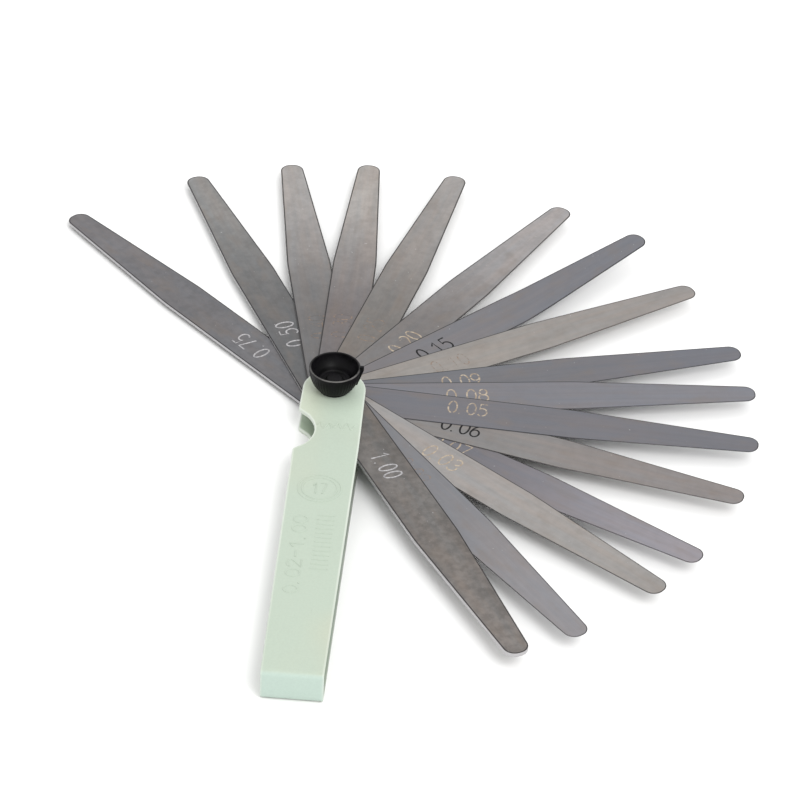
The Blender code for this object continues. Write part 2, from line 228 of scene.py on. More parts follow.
# how far each noise moves a leaf's brightness; the first two are times its cloudiness
CLOUD_SWAY, MOTTLE_SWAY, GRAIN_SWAY, THREADS_SWAY = 0.09, 0.1, 0.035, 0.03
GLINT_SPECK_SHARE, STAIN_SHARE, EDGE_SHARE = 0.55, 0.28, 0.9
THICK_GRIND, THIN_GRIND = 0.02 * MM, 0.01 * MM

# noises: turns a metre (along, across and through), detail, offset, roughness
LEAF_NOISES = {
    "threads": ((70.0, 9000.0, 70.0), 2.0, 0.0, 0.5),
    "grain": ((25.0, 1100.0, 25.0), 3.0, 3.1, 0.5),
    "cloud": ((60.0, 150.0, 60.0), 3.0, 7.7, 0.55),
    "mottle": (520.0, 4.0, 11.3, 0.62),
    "hue": ((40.0, 330.0, 40.0), 3.0, 29.0, 0.6),
    "glint_specks": (1500.0, 1.0, 17.9, 0.5),
    "stains": ((160.0, 300.0, 160.0), 3.0, 23.3, 0.5),
}
INK_NOISES = {"patches": (1500.0, 3.0, 5.0, 0.5), "shade": (900.0, 2.0, 9.0, 0.5)}
STAMP_NOISES = {"patches": (1800.0, 3.0, 0.0, 0.5)}
PAINT_NOISES = {
    "drift": ((45.0, 22.0, 45.0), 2.0, 1.3, 0.5),
    "dust": (2200.0, 3.0, 4.1, 0.5),
    "rubs": ((900.0, 120.0, 900.0), 4.0, 9.7, 0.7),
    "peel": (1300.0, 2.0, 2.9, 0.5),
}
BLACK_NOISES = {"drawn": ((1100.0, 1100.0, 160.0), 3.0, 0.0, 0.5), "haze": (420.0, 4.0, 5.5, 0.6)}
FLOOR_NOISES = {"cloud": (3.0, 2.0, 0.0, 0.5)}

# printed marks: ink, its darker shade, and the noise level below which it has worn away
INKS = {
    "faint": (tone(158, 138, 122), tone(128, 112, 100), 0.54),
    "cream": (tone(202, 186, 164), tone(138, 118, 100), 0.42),
    "black": (tone(16, 15, 17), tone(36, 35, 37), 0.27),
}
WORN_EASE = 0.1
STAMPED_SHADE = tone(172, 170, 173)

PAINT = tone(200, 210, 190)
PAINT_COOL = tone(193, 211, 196)
PAINT_WARM = tone(202, 210, 190)
# lighter, bluer paint on the end wall: painted light on the face turned to the front light
PAINT_LIT_END = tone(201, 221, 209)
# darker, greener paint on the cheeks' insides: painted shade in the sheath's hollow
PAINT_SHADED_INSIDE = tone(136, 168, 140)
PAINT_RUBBED = tone(150, 162, 148)
# pale paint on the rounded edges: partly thin, worn paint and partly a painted highlight
PAINT_EDGE_WEAR_AND_HIGHLIGHT = tone(232, 240, 228)
PAINT_SHARE, INSIDE_SHADE_SHARE = 0.45, 0.4

# places (from, to) where the sheath's paint changes: painted shade inside and on the lower open
# edge, painted light by the head, the edges' fading highlight
SHADED_INSIDE_ABOVE, SHADED_INSIDE_BELOW = (0.8 * MM, 0.97 * MM), (5.42 * MM, 5.5 * MM)
# painted light: the paint grows lighter towards the head, against the shade round the nut
PAINTED_LIGHT_BY_HEAD, PAINTED_LIGHT_MOST = (-18.0 * MM, -6.0 * MM), 1.18
# the edges' pale line, worn paint and painted highlight, fades towards the closed end
EDGES_CLEARER, EDGES_LEAST = (-92.0 * MM, -30.0 * MM), 0.45
# painted shade along the lower cheek's long open edge, set by the next three lines
EDGE_SHADE_ACROSS, EDGE_SHADE_HEIGHT = (5.5 * MM, 7.2 * MM), (0.9 * MM, 1.6 * MM)
EDGE_SHADE_HEAD = (-26.0 * MM, -18.0 * MM)
EDGE_SHADE_START, EDGE_SHADE_SHARE = 2.0 * MM, 0.55

BLACK = tone(12, 12, 13)
BLACK_HAZE = tone(24, 22, 26)
FRONT_HIGHLIGHT_SPAN, FRONT_HIGHLIGHT_LEAST = (-4.5 * MM, 1.0 * MM), 0.12

# black pieces: noise offset, lowest and highest roughness, and the bare metal under the black,
# which on the nut's front rim is a painted highlight
BLACK_LOOKS = {
    "screw": (31.0, 0.4, 0.55, tone(70, 68, 68)),
    "washer": (37.0, 0.4, 0.5, tone(60, 58, 58)),
    "nut": (41.0, 0.42, 0.56, tone(128, 126, 124)),
}


# ---- shader helpers ----
class Shader:
    """A material and short ways to add nodes to it."""

    def __init__(self, name):
        self.material = bpy.data.materials.new(name)
        self.material.use_nodes = True
        self.nodes = self.material.node_tree.nodes
        self.links = self.material.node_tree.links
        self.surface = self.nodes["Principled BSDF"]
        self.place = self.add("TexCoord").outputs["Object"]

    def put(self, node, key, value):
        if isinstance(value, bpy.types.NodeSocket):
            self.links.new(value, node.inputs[key])
        else:
            node.inputs[key].default_value = value

    def add(self, kind, inputs=None, **settings):
        node = self.nodes.new("ShaderNode" + kind)
        for key, value in settings.items():
            setattr(node, key, value)
        for key, value in (inputs or {}).items():
            self.put(node, key, value)
        return node

    def set(self, **inputs):
        for key, value in inputs.items():
            self.put(self.surface, key.replace("_", " "), value)

    def math(self, operation, first, second):
        return self.add("Math", {0: first, 1: second}, operation=operation).outputs[0]

    def times(self, *factors):
        product = factors[0]
        for factor in factors[1:]:
            product = self.math("MULTIPLY", product, factor)
        return product

    def spread(self, value, low, high, to_low=0.0, to_high=1.0):
        """Value eased from to_low at low to to_high at high."""
        limits = {"Value": value, "From Min": low, "From Max": high}
        limits.update({"To Min": to_low, "To Max": to_high})
        return self.add("MapRange", limits, interpolation_type="SMOOTHSTEP").outputs["Result"]

    def sway(self, value, low, high, amount):
        """Factor that goes from 1 - amount at low to 1 + amount at high."""
        return self.spread(value, low, high, 1.0 - amount, 1.0 + amount)

    def noise(self, scale, detail, offset, roughness):
        """Noise from 0 to 1 over the piece; scale is one number or three, in turns a metre."""
        if not isinstance(scale, tuple):
            scale = (scale, scale, scale)
        mapping = {"Vector": self.place, "Scale": scale, "Location": (offset, offset, offset)}
        settings = {"Vector": self.add("Mapping", mapping).outputs[0], "Scale": 1.0}
        settings.update({"Detail": detail, "Roughness": roughness})
        return self.add("TexNoise", settings).outputs["Fac"]

    def noises(self, kinds, seed=0.0):
        """One noise for each row of a table of noises, moved by the seed."""
        return {
            kind: self.noise(scale, detail, seed + offset, roughness)
            for kind, (scale, detail, offset, roughness) in kinds.items()
        }

    def mix(self, factor, first, second, blend="MIX"):
        node = self.add("Mix", data_type="RGBA", blend_type=blend)
        self.put(node, 0, factor)
        for slot, colour in ((6, first), (7, second)):
            plain = not isinstance(colour, bpy.types.NodeSocket)
            self.put(node, slot, (*colour, 1.0) if plain else colour)
        return node.outputs[2]

    def scaled(self, colour, factor):
        """Colour made lighter or darker by a factor that varies over the piece."""
        grey = self.add("CombineXYZ", {0: factor, 1: factor, 2: factor}).outputs[0]
        return self.mix(1.0, colour, grey, "MULTIPLY")

    def bump(self, height, distance, strength):
        limits = {"Height": height, "Distance": distance, "Strength": strength}
        self.set(Normal=self.add("Bump", limits).outputs["Normal"])

    def axes(self):
        return self.add("SeparateXYZ", {0: self.place}).outputs

    # edge value: worn metal, painted highlights and painted edge shade
    def wear(self):
        return self.add("Attribute", attribute_name="wear").outputs["Fac"]


# ---- materials ----
def leaf_steel(name, heel, tip, cloudiness, seed):
    """Ground strip steel: threads and grain along the leaf, clouds, painted glint specks, stains,
    a painted dark edge line and painted highlights on thick cut edges.
    """
    thick = cloudiness >= DARK
    shader = Shader(name)
    noise = shader.noises(LEAF_NOISES, seed)
    along = shader.axes()["X"]
    colour = shader.mix(shader.spread(along, HEEL_TO * REACH, TIP_FROM * REACH), heel, tip)
    cast = shader.mix(shader.spread(noise["hue"], 0.3, 0.7), COOL_CAST, WARM_CAST)
    colour = shader.mix(1.0, colour, cast, "MULTIPLY")
    clouds = shader.sway(noise["cloud"], 0.25, 0.75, CLOUD_SWAY * cloudiness)
    patches = shader.sway(noise["mottle"], 0.3, 0.7, MOTTLE_SWAY * cloudiness)
    lines = shader.sway(noise["grain"], 0.25, 0.75, GRAIN_SWAY)
    threads = shader.sway(noise["threads"], 0.2, 0.8, THREADS_SWAY)
    shade = shader.times(shader.times(clouds, patches), shader.times(lines, threads))
    colour = shader.scaled(colour, shader.times(shade, STEEL_SHARE))
    # painted glints: small bright specks
    glint_specks = shader.spread(noise["glint_specks"], 0.765, 0.82, 0.0, GLINT_SPECK_SHARE)
    colour = shader.mix(glint_specks, colour, BRIGHT_METAL_AND_HIGHLIGHT)
    stains = shader.spread(noise["stains"], 0.5, 0.75, 0.0, STAIN_SHARE)
    colour = shader.mix(stains, colour, STAIN)

    wear = shader.wear()
    # painted shade: a dark line where the rounding meets the face
    edge_line_shade = shader.times(shader.spread(wear, 0.08, 0.28), shader.spread(wear, 0.6, 0.8, 1.0, 0.0))
    colour = shader.mix(shader.times(edge_line_shade, EDGE_SHARE), colour, PAINTED_EDGE_SHADE)
    # painted highlight on the thick leaves' cut edges
    if thick:
        bare_metal_and_highlight = shader.times(shader.spread(wear, 0.75, 0.95), EDGE_SHARE)
        colour = shader.mix(bare_metal_and_highlight, colour, BRIGHT_METAL_AND_HIGHLIGHT)

    rough = shader.spread(noise["cloud"], 0.2, 0.8, 0.36, 0.48)
    rough = shader.math("ADD", rough, shader.spread(noise["mottle"], 0.3, 0.7, -0.04, 0.06))
    shader.set(Base_Color=colour, Metallic=0.55, Roughness=rough)
    hairs, pits = shader.times(noise["threads"], 0.35), shader.times(noise["mottle"], cloudiness)
    shader.bump(shader.math("ADD", hairs, pits), THICK_GRIND if thick else THIN_GRIND, 0.45)
    return shader.material


def mark_ink(style, steel, seed):
    """Fill of a printed mark, worn back to the steel in places."""
    shader = Shader("mark_" + style + "_%d" % seed)
    bright, dark, worn = INKS[style]
    noise = shader.noises(INK_NOISES, seed)
    kept = shader.spread(noise["patches"], worn - WORN_EASE, worn + WORN_EASE)
    ink = shader.mix(shader.spread(noise["shade"], 0.4, 0.6, 0.0, 0.55), bright, dark)
    metallic = shader.math("SUBTRACT", 0.9, shader.times(kept, 0.8))
    rough = shader.spread(noise["patches"], 0.3, 0.7, 0.42, 0.62)
    shader.set(Base_Color=shader.mix(kept, steel, ink), Metallic=metallic, Roughness=rough)
    shader.set(Specular_IOR_Level=0.2)
    shader.bump(noise["patches"], 0.006 * MM, 0.4)
    return shader.material


def stamped_steel(seed):
    """Displaced bright metal inside a stamped mark."""
    shader = Shader("stamped_%d" % seed)
    patches = shader.noises(STAMP_NOISES, seed)["patches"]
    colour = shader.mix(shader.spread(patches, 0.35, 0.65), STAMPED_SHADE, BRIGHT_METAL_AND_HIGHLIGHT)
    rough = shader.spread(patches, 0.3, 0.7, 0.35, 0.5)
    shader.set(Base_Color=colour, Metallic=0.8, Roughness=rough)
    shader.bump(patches, 0.01 * MM, 0.5)
    return shader.material


def grime_on_edge(shader, to_right, towards_head, height):
    """Painted shade along the long open edge of the lower cheek."""
    return shader.times(
        shader.spread(to_right, *EDGE_SHADE_ACROSS),
        shader.spread(height, *EDGE_SHADE_HEIGHT, 1.0, 0.0),
        shader.spread(towards_head, *EDGE_SHADE_HEAD, 1.0, 0.0),
        shader.spread(towards_head, BEND_Y, BEND_Y + EDGE_SHADE_START),
    )


def enamel(shader, drift, towards_head, height):
    """Clean enamel: drifts of hue, painted light on a lighter, bluer end wall, painted shade on
    the insides, painted light by the head.
    """
    colour = shader.mix(shader.spread(drift, 0.4, 0.6), PAINT_COOL, PAINT_WARM)
    colour = shader.mix(PAINT_SHARE, colour, PAINT)
    # painted light: the end wall gets its lighter, bluer paint
    wall, bend = BEND_Y - BEND_RADIUS, BEND_Y - 0.4 * BEND_RADIUS
    lit_end_wall = shader.spread(towards_head, wall, bend, 1.0, 0.0)
    colour = shader.mix(lit_end_wall, colour, PAINT_LIT_END)
    # painted shade on the cheeks' insides, away from the end wall
    inside = shader.times(
        shader.math("SUBTRACT", 1.0, lit_end_wall),
        shader.spread(height, *SHADED_INSIDE_ABOVE),
        shader.spread(height, *SHADED_INSIDE_BELOW, 1.0, 0.0),
    )
    colour = shader.mix(shader.times(inside, INSIDE_SHADE_SHARE), colour, PAINT_SHADED_INSIDE)
    # painted light towards the head
    return shader.scaled(colour, shader.spread(towards_head, *PAINTED_LIGHT_BY_HEAD, 1.0, PAINTED_LIGHT_MOST))


def sheath_paint():
    """Sage green enamel: fine speckle, orange peel, a few rubs, edges pale from thin paint and a
    painted highlight, painted shade along the lower cheek's open edge.
    """
    shader = Shader("sage_enamel")
    noise = shader.noises(PAINT_NOISES)
    axes = shader.axes()
    to_right, towards_head, height = axes["X"], axes["Y"], axes["Z"]
    colour = enamel(shader, noise["drift"], towards_head, height)
    colour = shader.scaled(colour, shader.spread(noise["dust"], 0.3, 0.7, 0.975, 1.02))
    rubs = shader.spread(noise["rubs"], 0.68, 0.78, 0.0, 0.25)
    colour = shader.mix(rubs, colour, PAINT_RUBBED)
    # pale edges: thin, worn paint and a painted highlight
    thin_paint_and_highlight = shader.times(
        shader.wear(),
        shader.spread(noise["rubs"], 0.35, 0.6, 1.0, 0.75),
        shader.spread(towards_head, *EDGES_CLEARER, EDGES_LEAST, 1.0),
    )
    colour = shader.mix(thin_paint_and_highlight, colour, PAINT_EDGE_WEAR_AND_HIGHLIGHT)

    # painted shade darkens the lower cheek's long open edge
    edge_shade = shader.times(grime_on_edge(shader, to_right, towards_head, height), EDGE_SHADE_SHARE)
    colour = shader.scaled(colour, shader.math("SUBTRACT", 1.0, edge_shade))
    rough = shader.spread(noise["dust"], 0.3, 0.7, 0.34, 0.44)
    shader.set(Base_Color=colour, Roughness=rough, Specular_IOR_Level=0.45)
    peel = shader.math("ADD", noise["peel"], shader.times(noise["dust"], 0.3))
    shader.bump(peel, 0.02 * MM, 0.35)
    return shader.material


def black_finish(piece):
    """Black finish with drawn marks down its sides, rubbed to bare metal on its edges.

    The edge towards the closed end of the sheath, the nut's front rim, is lightest: rubbed metal
    there carries a painted highlight.
    """
    seed, rough_low, rough_high, bare_metal_and_highlight = BLACK_LOOKS[piece]
    shader = Shader("black_" + piece + "_finish")
    noise = shader.noises(BLACK_NOISES, seed)
    # painted highlight: the front of the nut's rim is lightest
    front_highlight = shader.spread(shader.axes()["Y"], *FRONT_HIGHLIGHT_SPAN, 1.0, FRONT_HIGHLIGHT_LEAST)
    colour = shader.mix(shader.spread(noise["haze"], 0.35, 0.7), BLACK, BLACK_HAZE)
    patches = shader.spread(noise["haze"], 0.35, 0.6, 0.45, 1.0)
    rubbed_and_highlight = shader.times(shader.wear(), patches, front_highlight)
    colour = shader.mix(rubbed_and_highlight, colour, bare_metal_and_highlight)
    rough = shader.spread(noise["haze"], 0.3, 0.7, rough_low, rough_high)
    shader.set(Base_Color=colour, Metallic=shader.times(rubbed_and_highlight, 0.7), Roughness=rough)
    shader.set(Specular_IOR_Level=0.12)
    shader.bump(noise["drawn"], 0.03 * MM, 0.35)
    return shader.material


# ---- mesh helpers ----
def linked(name, data):
    """A new object in the scene."""
    thing = bpy.data.objects.new(name, data)
    bpy.context.scene.collection.objects.link(thing)
    return thing


def applied(thing):
    """Mesh of an object with its curve or its modifiers worked out."""
    bpy.context.view_layer.update()
    shown = thing.evaluated_get(bpy.context.evaluated_depsgraph_get())
    return bpy.data.meshes.new_from_object(shown)


def mesh_from(work, name, material):
    """Mesh of one material from a bmesh, its faces turned outwards."""
    bmesh.ops.recalc_face_normals(work, faces=work.faces)
    mesh = bpy.data.meshes.new(name)
    work.to_mesh(mesh)
    work.free()
    mesh.materials.append(material)
    return mesh


def piece_from(work, name, material, body, node=None):
    """Finishes a bmesh into a shown piece that rides on a body and stands for a CAD node."""
    mesh = mesh_from(work, name, material)
    mesh.shade_smooth()
    mesh.set_sharp_from_angle(angle=SHARP_ANGLE)
    piece = linked(name, mesh)
    if node:
        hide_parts(node)
    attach(piece, body)
    return piece


def combine(piece, mesh, **settings):
    """Adds a mesh, given in the piece's own place, to the piece or takes it away."""
    tool = linked("tool", mesh)
    tool.matrix_world = piece.matrix_world
    modifier = piece.modifiers.new("combine", "BOOLEAN")
    modifier.solver = "EXACT"
    modifier.object = tool
    for key, value in settings.items():
        setattr(modifier, key, value)
    piece.data = applied(piece)
    piece.modifiers.clear()
    bpy.data.objects.remove(tool, do_unlink=True)
    piece.data.set_sharp_from_angle(angle=SHARP_ANGLE)


def arc(centre, radius, start, end, steps):
    """Points on an arc in the plane, both ends included, angles in radians."""
    points = []
    for i in range(steps + 1):
        angle = start + (end - start) * i / steps
        points.append((centre[0] + radius * math.cos(angle), centre[1] + radius * math.sin(angle)))
    return points


def circle(centre, radius, steps):
    return arc(centre, radius, 0.0, 2.0 * math.pi, steps)[:-1]


def fillet(before, corner, after, radius, steps):
    """Arc of the given radius that rounds one corner of a polygon."""
    first = (Vector(before) - Vector(corner)).normalized()
    second = (Vector(after) - Vector(corner)).normalized()
    half = first.angle(second) / 2.0
    centre = Vector(corner) + (first + second).normalized() * (radius / math.sin(half))
    run = radius / math.tan(half)
    leave = Vector(corner) + first * run - centre
    meet = Vector(corner) + second * run - centre
    start = math.atan2(leave.y, leave.x)
    turn = (math.atan2(meet.y, meet.x) - start + math.pi) % (2.0 * math.pi) - math.pi
    return arc(centre, radius, start, start + turn, steps)


def drawn_in(points, amount):
    """A closed counter-clockwise outline moved inwards by amount, square to its edge."""
    moved = []
    for i, point in enumerate(points):
        here = Vector(point)
        ahead = (Vector(points[(i + 1) % len(points)]) - here).normalized()
        behind = (here - Vector(points[i - 1])).normalized()
        inward = Vector((-ahead.y - behind.y, ahead.x + behind.x)) / (1.0 + ahead.dot(behind))
        moved.append(tuple(here + inward * amount))
    return moved


def edge_rings(thickness, radius, band, crest):
    """(inset, height, wear) of the rings round a plate with rounded edges, bottom to top.

    The edge value, for worn metal and painted edge light and shade, is 1 down the cut edge and
    falls to crest where the rounding meets the face.
    """
    lower, upper = [(radius + band, 0.0, 0.0)], []
    for i in range(EDGE_STEPS + 1):
        turn, share = QUARTER * i / EDGE_STEPS, (1.0 - crest) * i / EDGE_STEPS
        far, near = radius * (1.0 - math.sin(turn)), radius * (1.0 - math.cos(turn))
        lower.append((far, near, crest + share))
        upper.append((near, thickness - far, 1.0 - share))
    return lower + upper + [(radius + band, thickness, 0.0)]


def ring_of(work, points, height, edge_wear_and_light_layer, wear):
    ring = [work.verts.new((x, y, height)) for x, y in points]
    for vert in ring:
        vert[edge_wear_and_light_layer] = wear
    return ring


def join_rings(work, lower, upper):
    for i in range(len(lower)):
        k = (i + 1) % len(lower)
        work.faces.new((lower[i], lower[k], upper[k], upper[i]))


def ring_edges(work, ring):
    edges = []
    for i, vert in enumerate(ring):
        other = ring[(i + 1) % len(ring)]
        edges.append(work.edges.get((vert, other)) or work.edges.new((vert, other)))
    return edges


def rounded_plate(outline, thickness, radius, holes=(), cuts=(), band=EDGE_BAND, crest=1.0):
    """Closed plate from Z = 0 up, edges rounded, as a bmesh.

    A hole is its centre and the (radius, height) of its rings, bottom to top.  A cut is
    (point, normal) of a plane that only divides faces, so that the plate can be bent.
    """
    work = bmesh.new()
    layer = work.verts.layers.float.new("wear")
    rings = [
        ring_of(work, drawn_in(outline, inset), height, layer, wear)
        for inset, height, wear in edge_rings(thickness, radius, band, crest)
    ]
    for lower, upper in zip(rings, rings[1:]):
        join_rings(work, lower, upper)
    bottom, top = [rings[0]], [rings[-1]]
    for centre, profile in holes:
        walls = [
            ring_of(work, circle(centre, size, HOLE_STEPS), height, layer, 0.0)
            for size, height in profile
        ]
        for lower, upper in zip(walls, walls[1:]):
            join_rings(work, upper, lower)
        bottom.append(walls[0])
        top.append(walls[-1])
    for cap in (bottom, top):
        edges = [edge for ring in cap for edge in ring_edges(work, ring)]
        bmesh.ops.triangle_fill(work, use_beauty=True, edges=edges, normal=(0.0, 0.0, 1.0))
    for point, normal in cuts:
        everything = work.verts[:] + work.edges[:] + work.faces[:]
        plane = {"plane_co": point, "plane_no": normal, "dist": SNAP}
        bmesh.ops.bisect_plane(work, geom=everything, **plane)
    return work


def turned(profile, steps, closed):
    """Solid of revolution about Z as a bmesh, from (radius, height, wear) points."""
    work = bmesh.new()
    layer = work.verts.layers.float.new("wear")
    rings = []
    for radius, height, wear in profile:
        points = circle((0.0, 0.0), radius, steps) if radius else [(0.0, 0.0)]
        rings.append(ring_of(work, points, height, layer, wear))
    pairs = list(zip(rings, rings[1:])) + ([(rings[-1], rings[0])] if closed else [])
    for first, second in pairs:
        if len(first) == len(second):
            join_rings(work, first, second)
            continue
        pole, ring = (first[0], second) if len(first) == 1 else (second[0], first)
        for i, vert in enumerate(ring):
            work.faces.new((pole, vert, ring[(i + 1) % len(ring)]))
    return work


# ---- strokes for numbers and relief ----
def oval(x, y, wide, high, start=90.0, end=450.0, steps=22):
    """Part of an ellipse by degrees, as a list of points."""
    unit = arc((0.0, 0.0), 1.0, math.radians(start), math.radians(end), steps)
    return [(x + wide * across, y + high * up) for across, up in unit]


def half_turn(strokes):
    return [[(0.5 - x, 1.0 - y) for x, y in stroke] for stroke in strokes]


# each digit fills a box 1 high and twice DIGIT_HALF wide
DIGIT_HALF, DIGIT_STEP, POINT_STEP = 0.25, 0.63, 0.42
SIX = [oval(0.25, 0.29, 0.24, 0.29, 100.0, 460.0), oval(0.62, 0.30, 0.61, 0.70, 105.0, 178.0, 8)]
THREE_TOP = oval(0.22, 0.76, 0.22, 0.24, 150.0, -90.0, 12)
THREE_FOOT = oval(0.22, 0.26, 0.26, 0.26, 90.0, -150.0, 12)
FIVE_BOWL = oval(0.21, 0.32, 0.27, 0.32, 110.0, -140.0, 14)
DIGITS = {
    "0": [oval(0.25, 0.5, 0.24, 0.5)],
    "1": [[(0.06, 0.76), (0.28, 1.0), (0.28, 0.0)]],
    "2": [oval(0.25, 0.74, 0.23, 0.26, 165.0, -35.0, 12) + [(0.02, 0.0), (0.5, 0.0)]],
    "3": [THREE_TOP + THREE_FOOT[1:]],
    "4": [[(0.36, 0.0), (0.36, 1.0), (0.0, 0.3), (0.5, 0.3)]],
    "5": [[(0.46, 1.0), (0.1, 1.0), (0.06, 0.55)] + FIVE_BOWL],
    "6": SIX,
    "7": [[(0.0, 1.0), (0.5, 1.0), (0.2, 0.0)]],
    "8": [oval(0.25, 0.76, 0.2, 0.24), oval(0.25, 0.27, 0.25, 0.27)],
    "9": half_turn(SIX),
    ".": [[(-0.01, 0.0), (0.08, 0.03)]],
    "-": [[(0.05, 0.5), (0.45, 0.5)]],
}


def moved(strokes, right, up):
    return [[(x + right, y + up) for x, y in stroke] for stroke in strokes]


def written(text, length, height, narrow=1.0):
    """Strokes of a line of digits along +X, from X = 0 to length, centred on Y = 0."""
    strokes, pen = [], 0.0
    for sign in text:
        for stroke in DIGITS[sign]:
            strokes.append([((x - DIGIT_HALF) * narrow + DIGIT_HALF + pen, y) for x, y in stroke])
        pen += POINT_STEP if sign == "." else DIGIT_STEP
    stretch = length / (pen - DIGIT_STEP + 2.0 * DIGIT_HALF)
    return [[(x * stretch, (y - 0.5) * height) for x, y in stroke] for stroke in strokes]


def stroke_mesh(strokes, radius, height):
    """Round-ended strokes in the plane as a bmesh, flattened to stand out by height."""
    curve = bpy.data.curves.new("strokes", "CURVE")
    curve.dimensions = "3D"
    curve.bevel_depth = radius
    curve.bevel_resolution = 2
    curve.use_fill_caps = True
    for stroke in strokes:
        spline = curve.splines.new("POLY")
        closed = len(stroke) > 2 and (Vector(stroke[0]) - Vector(stroke[-1])).length < radius
        points = stroke[:-1] if closed else stroke
        spline.points.add(len(points) - 1)
        for point, (x, y) in zip(spline.points, points):
            point.co = (x, y, 0.0, 1.0)
        spline.use_cyclic_u = closed
    holder = linked("strokes", curve)
    mesh = applied(holder)
    bpy.data.objects.remove(holder, do_unlink=True)
    work = bmesh.new()
    work.from_mesh(mesh)
    bpy.data.meshes.remove(mesh)
    bmesh.ops.remove_doubles(work, verts=work.verts, dist=WELD)
    bmesh.ops.scale(work, vec=(1.0, 1.0, height / radius), verts=work.verts)
    return work


# ---- leaves ----
def leaf_outline():
    """Leaf along +X, counter-clockwise: round heel, parallel part, taper, eased tip."""
    half = LEAF_WIDTH / 2.0
    heel = arc((0.0, 0.0), half, QUARTER, 3.0 * QUARTER, 24)
    taper_start = (LEAF_TAPER_FROM, -half)
    tip_corner = (REACH, -TIP_WIDTH / 2.0)
    lower = fillet(heel[-1], taper_start, tip_corner, TAPER_BLEND, 6)
    lower += fillet(taper_start, tip_corner, (REACH, TIP_WIDTH / 2.0), TIP_RADIUS, 10)
    return heel + lower + [(x, -y) for x, y in reversed(lower)]


def sprung_rise(along):
    """Height that the sprung leaf has gained at a distance from the pivot."""
    past = along - SPRUNG_FROM
    if past <= 0.0:
        return 0.0
    if past < SPRUNG_BLEND:
        return SPRUNG_SLOPE * past * past / (2.0 * SPRUNG_BLEND)
    return SPRUNG_SLOPE * (past - SPRUNG_BLEND / 2.0)


def press_flat(piece):
    """Gives the sprung leaf's piece a mesh of its own."""
    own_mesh(piece)


def leaf_angles():
    """Rest angle of every leaf in radians, from how far its joint has to turn to close."""
    return {
        joint["child"]: math.radians(CLOSED_ANGLE - joint["range_deg"][0])
        for joint in frame["joints"]
        if joint["child"] in LEAF_LOOKS
    }


def make_blade(node, outline, thickness, material):
    """The leaf itself, lying along +X from the pivot; the sprung one is divided and bent."""
    radius = min(LEAF_EDGE_SHARE * thickness, LEAF_EDGE_MOST)
    hole = ((0.0, 0.0), ((BORE_RADIUS, 0.0), (BORE_RADIUS, thickness)))
    sprung = node == SPRUNG_LEAF
    stations = [SPRUNG_FROM + SPRUNG_CUT_STEP * i for i in range(SPRUNG_CUTS)] if sprung else []
    cuts = [((x, 0.0, 0.0), (1.0, 0.0, 0.0)) for x in stations]
    work = rounded_plate(outline, thickness, radius, [hole], cuts, crest=LEAF_CREST)
    if sprung:
        for vert in work.verts:
            vert.co.z += sprung_rise(vert.co.x)
    return piece_from(work, node + "_blade", material, node, node)


def engrave(leaf, strokes, thickness, seed):
    """Cuts the strokes into a thick leaf's upper face and gives the grooves bright metal."""
    work = stroke_mesh(strokes, MARK_STROKE["stamped"], GROOVE_DEPTH)
    bmesh.ops.translate(work, vec=(0.0, 0.0, thickness), verts=work.verts)
    metal = stamped_steel(seed)
    leaf.data.materials.append(metal)
    combine(leaf, mesh_from(work, "grooves", metal), use_self=True, material_mode="TRANSFER")
    cut = leaf.data
    for face in cut.polygons:
        face.use_smooth = abs(face.normal.z) < LEVEL
    reach = max(x for stroke in strokes for x, y in stroke) + MARK_HEIGHT
    for vert, wear in zip(cut.vertices, cut.attributes["wear"].data):
        if LEAF_WIDTH < vert.co.x < reach and abs(vert.co.y) < MARK_HEIGHT:
            wear.value = 0.0


def make_leaves():
    angles = leaf_angles()
    outline = leaf_outline()
    for seed, (node, look) in enumerate(LEAF_LOOKS.items()):
        heel, tip, cloudiness, style, *measures = look
        start, length, aside = (size * MM for size in measures)
        low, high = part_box(node)
        thickness = high.z - low.z
        steel = leaf_steel(node + "_steel", heel, tip, cloudiness, 10.0 * seed)
        leaf = make_blade(node, outline, thickness, steel)
        place = Matrix.Translation((0.0, 0.0, low.z)) @ Matrix.Rotation(angles[node], 4, "Z")
        leaf.matrix_world = place
        if node == SPRUNG_LEAF:
            press_flat(leaf)
        text = node.replace("leaf_", "").replace("_", ".")
        narrow = STAMPED_NARROW if style == "stamped" else 1.0
        strokes = moved(written(text, length, MARK_HEIGHT, narrow), start, aside)
        if style == "stamped":
            engrave(leaf, strokes, thickness, seed)
            continue
        marks = stroke_mesh(strokes, MARK_STROKE[style], MARK_PROUD)
        bmesh.ops.translate(marks, vec=(0.0, 0.0, thickness), verts=marks.verts)
        mark = piece_from(marks, node + "_mark", mark_ink(style, heel, seed), node)
        mark.matrix_world = place
        if node == SPRUNG_LEAF:
            press_flat(mark)


# ---- sheath ----
END_SLOPE = math.atan2(END_RISE, SHEATH_LENGTH - FLAT_LENGTH)
BEND_Y = -SHEATH_LENGTH + BEND_RADIUS
SLOPE_START = BEND_Y + BEND_RADIUS * math.sin(END_SLOPE)
UPPER_RISE = (-FLAT_LENGTH - SLOPE_START) * math.tan(END_SLOPE)
LOWER_BEND_Z = BEND_RADIUS
UPPER_BEND_Z = CHEEK_TOP + UPPER_RISE - BEND_RADIUS * math.cos(END_SLOPE)
MID_RADIUS = BEND_RADIUS - SHEET / 2.0
HALF_WALL = (UPPER_BEND_Z - LOWER_BEND_Z) / 2.0
LOWER_FLAT_FROM = HALF_WALL + MID_RADIUS * QUARTER
UPPER_FLAT_FROM = HALF_WALL + MID_RADIUS * (QUARTER + END_SLOPE)
CREASE_AT = UPPER_FLAT_FROM + (-FLAT_LENGTH - SLOPE_START) / math.cos(END_SLOPE)
CHEEK_END = BEND_Y + 0.5 * MM    # where the outline of a cheek stops short of the bend


